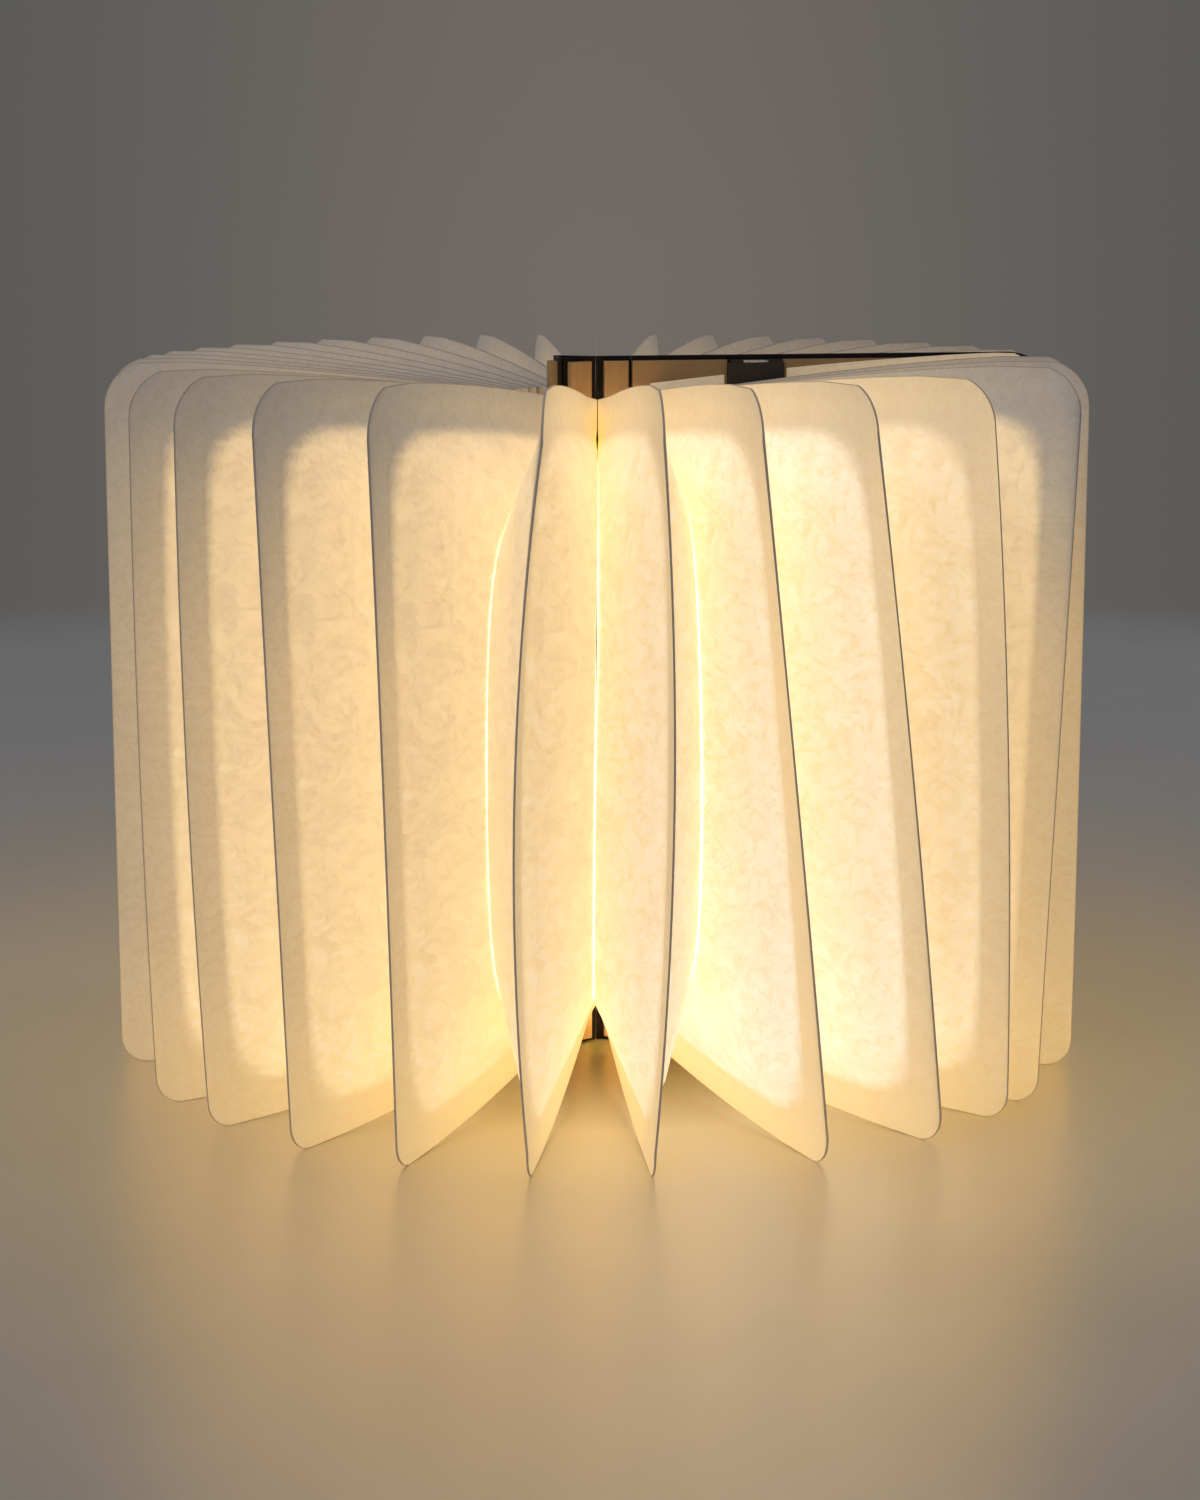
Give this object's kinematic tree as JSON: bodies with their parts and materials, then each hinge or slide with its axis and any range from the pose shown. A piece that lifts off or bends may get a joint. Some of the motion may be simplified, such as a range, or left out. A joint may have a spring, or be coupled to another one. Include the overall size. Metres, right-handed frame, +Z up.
{
  "type": "folding book lamp",
  "caption": "Book-shaped lamp that opens right round into a ring of glowing paper pocket leaves, on a slatted spine with a light bar.",
  "frame": {"origin": "on the axis of the ring of leaves, on the surface that the lamp stands on", "axes": "+Z up along the spine, +X along the covers, which lie back to back on the XZ plane, and -Y towards the front cover"},
  "size_m": [0.297, 0.2979, 0.215],
  "materials": {
    "tan_board": "matte",
    "dark_skin": "matte",
    "leaf_paper": "matte",
    "end_sheet": "matte",
    "magnet": "polished",
    "socket": "satin",
    "inlet_plastic": "matte",
    "bar_aluminium": "satin",
    "diffuser": "matte",
    "cap_plastic": "matte",
    "circuit": "satin",
    "control_circuit": "satin",
    "led": "gloss",
    "cell": "satin"
  },
  "bodies": {
    "spine_centre": {"centre_slat": "tan_board", "centre_skin": "dark_skin", "bar_channel": "bar_aluminium", "bar_diffuser": "diffuser", "bar_end_caps": "cap_plastic", "led_board": "circuit", "leds": "led", "cells": "cell", "control_board": "control_circuit", "leaf_21": "leaf_paper"},
    "front_inner": {"front_inner_slat": "tan_board", "front_inner_skin": "dark_skin"},
    "front_outer": {"front_outer_slat": "tan_board", "front_outer_skin": "dark_skin"},
    "front_cover": {"front_board": "tan_board", "front_cover_skin": "dark_skin", "front_end_sheet": "end_sheet", "front_magnets": "magnet", "inlet_block": "inlet_plastic", "usb_socket": "socket"},
    "back_inner": {"back_inner_slat": "tan_board", "back_inner_skin": "dark_skin"},
    "back_outer": {"back_outer_slat": "tan_board", "back_outer_skin": "dark_skin"},
    "back_cover": {"back_board": "tan_board", "back_cover_skin": "dark_skin", "back_end_sheet": "end_sheet", "back_magnets": "magnet"},
    "leaf_01": {"leaf_01": "leaf_paper"},
    "leaf_02": {"leaf_02": "leaf_paper"},
    "leaf_03": {"leaf_03": "leaf_paper"},
    "leaf_04": {"leaf_04": "leaf_paper"},
    "leaf_05": {"leaf_05": "leaf_paper"},
    "leaf_06": {"leaf_06": "leaf_paper"},
    "leaf_07": {"leaf_07": "leaf_paper"},
    "leaf_08": {"leaf_08": "leaf_paper"},
    "leaf_09": {"leaf_09": "leaf_paper"},
    "leaf_10": {"leaf_10": "leaf_paper"},
    "leaf_11": {"leaf_11": "leaf_paper"},
    "leaf_12": {"leaf_12": "leaf_paper"},
    "leaf_13": {"leaf_13": "leaf_paper"},
    "leaf_14": {"leaf_14": "leaf_paper"},
    "leaf_15": {"leaf_15": "leaf_paper"},
    "leaf_16": {"leaf_16": "leaf_paper"},
    "leaf_17": {"leaf_17": "leaf_paper"},
    "leaf_18": {"leaf_18": "leaf_paper"},
    "leaf_19": {"leaf_19": "leaf_paper"},
    "leaf_20": {"leaf_20": "leaf_paper"},
    "leaf_22": {"leaf_22": "leaf_paper"},
    "leaf_23": {"leaf_23": "leaf_paper"},
    "leaf_24": {"leaf_24": "leaf_paper"},
    "leaf_25": {"leaf_25": "leaf_paper"},
    "leaf_26": {"leaf_26": "leaf_paper"},
    "leaf_27": {"leaf_27": "leaf_paper"},
    "leaf_28": {"leaf_28": "leaf_paper"},
    "leaf_29": {"leaf_29": "leaf_paper"},
    "leaf_30": {"leaf_30": "leaf_paper"},
    "leaf_31": {"leaf_31": "leaf_paper"},
    "leaf_32": {"leaf_32": "leaf_paper"},
    "leaf_33": {"leaf_33": "leaf_paper"}
  },
  "joints": [
    {"name": "fold", "type": "hinge", "parent": "spine_centre", "child": "front_inner", "pos_m": [-0.01209, -0.0059, 0], "axis": [0, 0, -1], "range_deg": [0, 153.56], "deforming": ["leaf_21"]},
    {"name": "front_outer_fold", "type": "hinge", "parent": "front_inner", "child": "front_outer", "pos_m": [-0.0009, -0.00055, 0], "axis": [0, 0, -1], "range_deg": [0, 12.45]},
    {"name": "front_cover_fold", "type": "hinge", "parent": "front_outer", "child": "front_cover", "pos_m": [0.01, -0.00055, 0], "axis": [0, 0, -1], "range_deg": [0, 14.01]},
    {"name": "back_inner_fold", "type": "hinge", "parent": "spine_centre", "child": "back_inner", "pos_m": [-0.01209, 0.0059, 0], "axis": [0, 0, 1], "range_deg": [0, 153.57]},
    {"name": "back_outer_fold", "type": "hinge", "parent": "back_inner", "child": "back_outer", "pos_m": [-0.0009, 0.00055, 0], "axis": [0, 0, 1], "range_deg": [0, 12.45]},
    {"name": "back_cover_fold", "type": "hinge", "parent": "back_outer", "child": "back_cover", "pos_m": [0.01, 0.00055, 0], "axis": [0, 0, 1], "range_deg": [0, 14.01]},
    {"name": "leaf_01_turn", "type": "hinge", "parent": "spine_centre", "child": "leaf_01", "pos_m": [-0.00504, 0.00636, 0], "axis": [0, 0, 1], "range_deg": [0, 171.11], "deforming": ["leaf_01"]},
    {"name": "leaf_02_turn", "type": "hinge", "parent": "spine_centre", "child": "leaf_02", "pos_m": [-0.00506, 0.00566, 0], "axis": [0, 0, 1], "range_deg": [0, 161.11], "deforming": ["leaf_02"]},
    {"name": "leaf_03_turn", "type": "hinge", "parent": "spine_centre", "child": "leaf_03", "pos_m": [-0.00505, 0.00502, 0], "axis": [0, 0, 1], "range_deg": [0, 151.11], "deforming": ["leaf_03"]},
    {"name": "leaf_04_turn", "type": "hinge", "parent": "spine_centre", "child": "leaf_04", "pos_m": [-0.00503, 0.00445, 0], "axis": [0, 0, 1], "range_deg": [0, 141.11], "deforming": ["leaf_04"]},
    {"name": "leaf_05_turn", "type": "hinge", "parent": "spine_centre", "child": "leaf_05", "pos_m": [-0.005, 0.00402, 0], "axis": [0, 0, 1], "range_deg": [0, 132.81], "deforming": ["leaf_05"]},
    {"name": "leaf_06_turn", "type": "hinge", "parent": "spine_centre", "child": "leaf_06", "pos_m": [-0.00496, 0.00363, 0], "axis": [0, 0, 1], "range_deg": [0, 124.51], "deforming": ["leaf_06"]},
    {"name": "leaf_07_turn", "type": "hinge", "parent": "spine_centre", "child": "leaf_07", "pos_m": [-0.00492, 0.00326, 0], "axis": [0, 0, 1], "range_deg": [0, 116.21], "deforming": ["leaf_07"]},
    {"name": "leaf_08_turn", "type": "hinge", "parent": "spine_centre", "child": "leaf_08", "pos_m": [-0.00488, 0.00293, 0], "axis": [0, 0, 1], "range_deg": [0, 107.91], "deforming": ["leaf_08"]},
    {"name": "leaf_09_turn", "type": "hinge", "parent": "spine_centre", "child": "leaf_09", "pos_m": [-0.00483, 0.00262, 0], "axis": [0, 0, 1], "range_deg": [0, 99.61], "deforming": ["leaf_09"]},
    {"name": "leaf_10_turn", "type": "hinge", "parent": "spine_centre", "child": "leaf_10", "pos_m": [-0.00479, 0.00233, 0], "axis": [0, 0, 1], "range_deg": [0, 91.31], "deforming": ["leaf_10"]},
    {"name": "leaf_11_turn", "type": "hinge", "parent": "spine_centre", "child": "leaf_11", "pos_m": [-0.00474, 0.00206, 0], "axis": [0, 0, 1], "range_deg": [0, 83.01], "deforming": ["leaf_11"]},
    {"name": "leaf_12_turn", "type": "hinge", "parent": "spine_centre", "child": "leaf_12", "pos_m": [-0.0047, 0.0018, 0], "axis": [0, 0, 1], "range_deg": [0, 74.71], "deforming": ["leaf_12"]},
    {"name": "leaf_13_turn", "type": "hinge", "parent": "spine_centre", "child": "leaf_13", "pos_m": [-0.00466, 0.00157, 0], "axis": [0, 0, 1], "range_deg": [0, 66.41], "deforming": ["leaf_13"]},
    {"name": "leaf_14_turn", "type": "hinge", "parent": "spine_centre", "child": "leaf_14", "pos_m": [-0.00463, 0.00134, 0], "axis": [0, 0, 1], "range_deg": [0, 58.11], "deforming": ["leaf_14"]},
    {"name": "leaf_15_turn", "type": "hinge", "parent": "spine_centre", "child": "leaf_15", "pos_m": [-0.00459, 0.00113, 0], "axis": [0, 0, 1], "range_deg": [0, 49.81], "deforming": ["leaf_15"]},
    {"name": "leaf_16_turn", "type": "hinge", "parent": "spine_centre", "child": "leaf_16", "pos_m": [-0.00456, 0.00093, 0], "axis": [0, 0, 1], "range_deg": [0, 41.51], "deforming": ["leaf_16"]},
    {"name": "leaf_17_turn", "type": "hinge", "parent": "spine_centre", "child": "leaf_17", "pos_m": [-0.00454, 0.00073, 0], "axis": [0, 0, 1], "range_deg": [0, 33.21], "deforming": ["leaf_17"]},
    {"name": "leaf_18_turn", "type": "hinge", "parent": "spine_centre", "child": "leaf_18", "pos_m": [-0.00452, 0.00054, 0], "axis": [0, 0, 1], "range_deg": [0, 24.91], "deforming": ["leaf_18"]},
    {"name": "leaf_19_turn", "type": "hinge", "parent": "spine_centre", "child": "leaf_19", "pos_m": [-0.00451, 0.00036, 0], "axis": [0, 0, 1], "range_deg": [0, 16.61], "deforming": ["leaf_19"]},
    {"name": "leaf_20_turn", "type": "hinge", "parent": "spine_centre", "child": "leaf_20", "pos_m": [-0.0045, 0.00018, 0], "axis": [0, 0, 1], "range_deg": [0, 8.31], "deforming": ["leaf_20"]},
    {"name": "leaf_22_turn", "type": "hinge", "parent": "spine_centre", "child": "leaf_22", "pos_m": [-0.00451, -0.00037, 0], "axis": [0, 0, -1], "range_deg": [0, 17.01], "deforming": ["leaf_22"]},
    {"name": "leaf_23_turn", "type": "hinge", "parent": "spine_centre", "child": "leaf_23", "pos_m": [-0.00453, -0.00064, 0], "axis": [0, 0, -1], "range_deg": [0, 29.21], "deforming": ["leaf_23"]},
    {"name": "leaf_24_turn", "type": "hinge", "parent": "spine_centre", "child": "leaf_24", "pos_m": [-0.00457, -0.00098, 0], "axis": [0, 0, -1], "range_deg": [0, 43.51], "deforming": ["leaf_24"]},
    {"name": "leaf_25_turn", "type": "hinge", "parent": "spine_centre", "child": "leaf_25", "pos_m": [-0.00462, -0.00133, 0], "axis": [0, 0, -1], "range_deg": [0, 57.71], "deforming": ["leaf_25"]},
    {"name": "leaf_26_turn", "type": "hinge", "parent": "spine_centre", "child": "leaf_26", "pos_m": [-0.00469, -0.00172, 0], "axis": [0, 0, -1], "range_deg": [0, 71.91], "deforming": ["leaf_26"]},
    {"name": "leaf_27_turn", "type": "hinge", "parent": "spine_centre", "child": "leaf_27", "pos_m": [-0.00477, -0.00223, 0], "axis": [0, 0, -1], "range_deg": [0, 88.41], "deforming": ["leaf_27"]},
    {"name": "leaf_28_turn", "type": "hinge", "parent": "spine_centre", "child": "leaf_28", "pos_m": [-0.00485, -0.00269, 0], "axis": [0, 0, -1], "range_deg": [0, 101.71], "deforming": ["leaf_28"]},
    {"name": "leaf_29_turn", "type": "hinge", "parent": "spine_centre", "child": "leaf_29", "pos_m": [-0.00492, -0.00326, 0], "axis": [0, 0, -1], "range_deg": [0, 116.21], "deforming": ["leaf_29"]},
    {"name": "leaf_30_turn", "type": "hinge", "parent": "spine_centre", "child": "leaf_30", "pos_m": [-0.00499, -0.00398, 0], "axis": [0, 0, -1], "range_deg": [0, 131.91], "deforming": ["leaf_30"]},
    {"name": "leaf_31_turn", "type": "hinge", "parent": "spine_centre", "child": "leaf_31", "pos_m": [-0.00504, -0.0047, 0], "axis": [0, 0, -1], "range_deg": [0, 145.51], "deforming": ["leaf_31"]},
    {"name": "leaf_32_turn", "type": "hinge", "parent": "spine_centre", "child": "leaf_32", "pos_m": [-0.00506, -0.00568, 0], "axis": [0, 0, -1], "range_deg": [0, 161.41], "deforming": ["leaf_32"]},
    {"name": "leaf_33_turn", "type": "hinge", "parent": "spine_centre", "child": "leaf_33", "pos_m": [-0.00503, -0.00651, 0], "axis": [0, 0, -1], "range_deg": [0, 173.01], "deforming": ["leaf_33"]}
  ],
  "couplings": [
    {"joint": "front_outer_fold", "follows": "fold", "ratio": 0.081013},
    {"joint": "front_cover_fold", "follows": "fold", "ratio": 0.09117},
    {"joint": "back_inner_fold", "follows": "fold", "ratio": 1},
    {"joint": "back_outer_fold", "follows": "fold", "ratio": 0.081013},
    {"joint": "back_cover_fold", "follows": "fold", "ratio": 0.09117},
    {"joint": "leaf_01_turn", "follows": "fold", "ratio": 1.1142},
    {"joint": "leaf_02_turn", "follows": "fold", "ratio": 1.0491},
    {"joint": "leaf_03_turn", "follows": "fold", "ratio": 0.98398},
    {"joint": "leaf_04_turn", "follows": "fold", "ratio": 0.91886},
    {"joint": "leaf_05_turn", "follows": "fold", "ratio": 0.86481},
    {"joint": "leaf_06_turn", "follows": "fold", "ratio": 0.81076},
    {"joint": "leaf_07_turn", "follows": "fold", "ratio": 0.75671},
    {"joint": "leaf_08_turn", "follows": "fold", "ratio": 0.70266},
    {"joint": "leaf_09_turn", "follows": "fold", "ratio": 0.64861},
    {"joint": "leaf_10_turn", "follows": "fold", "ratio": 0.59456},
    {"joint": "leaf_11_turn", "follows": "fold", "ratio": 0.54051},
    {"joint": "leaf_12_turn", "follows": "fold", "ratio": 0.48646},
    {"joint": "leaf_13_turn", "follows": "fold", "ratio": 0.4324},
    {"joint": "leaf_14_turn", "follows": "fold", "ratio": 0.37835},
    {"joint": "leaf_15_turn", "follows": "fold", "ratio": 0.3243},
    {"joint": "leaf_16_turn", "follows": "fold", "ratio": 0.27025},
    {"joint": "leaf_17_turn", "follows": "fold", "ratio": 0.2162},
    {"joint": "leaf_18_turn", "follows": "fold", "ratio": 0.16215},
    {"joint": "leaf_19_turn", "follows": "fold", "ratio": 0.1081},
    {"joint": "leaf_20_turn", "follows": "fold", "ratio": 0.054051},
    {"joint": "leaf_22_turn", "follows": "fold", "ratio": 0.11071},
    {"joint": "leaf_23_turn", "follows": "fold", "ratio": 0.19015},
    {"joint": "leaf_24_turn", "follows": "fold", "ratio": 0.28328},
    {"joint": "leaf_25_turn", "follows": "fold", "ratio": 0.37575},
    {"joint": "leaf_26_turn", "follows": "fold", "ratio": 0.46822},
    {"joint": "leaf_27_turn", "follows": "fold", "ratio": 0.57567},
    {"joint": "leaf_28_turn", "follows": "fold", "ratio": 0.66228},
    {"joint": "leaf_29_turn", "follows": "fold", "ratio": 0.75671},
    {"joint": "leaf_30_turn", "follows": "fold", "ratio": 0.85895},
    {"joint": "leaf_31_turn", "follows": "fold", "ratio": 0.94751},
    {"joint": "leaf_32_turn", "follows": "fold", "ratio": 1.0511},
    {"joint": "leaf_33_turn", "follows": "fold", "ratio": 1.1266}
  ]
}
